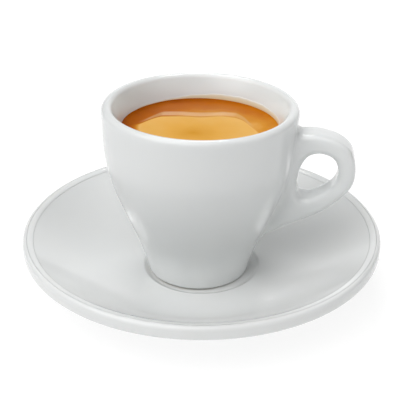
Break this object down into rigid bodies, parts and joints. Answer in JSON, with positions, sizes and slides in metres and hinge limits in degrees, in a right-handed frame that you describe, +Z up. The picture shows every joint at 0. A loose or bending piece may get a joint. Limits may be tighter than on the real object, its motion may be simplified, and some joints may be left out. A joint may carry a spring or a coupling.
{
  "type": "espresso in cup with saucer",
  "caption": "Short coffee with golden-brown crema in a thick white tapered porcelain cup with a pierced loop handle, standing in the well of its round raised-rim saucer.",
  "frame": {"origin": "centre of the saucer's foot ring, on the table", "axes": "+Z up; +X towards the cup's handle; the handle's middle plane is the XZ plane"},
  "size_m": [0.12, 0.12, 0.0641],
  "materials": {
    "porcelain": "glossy white glaze on thick porcelain",
    "crema": "wet, fine-bubbled golden-brown coffee foam"
  },
  "bodies": {
    "root": {"saucer": "porcelain", "cup": "porcelain", "espresso": "crema"}
  },
  "joints": []
}
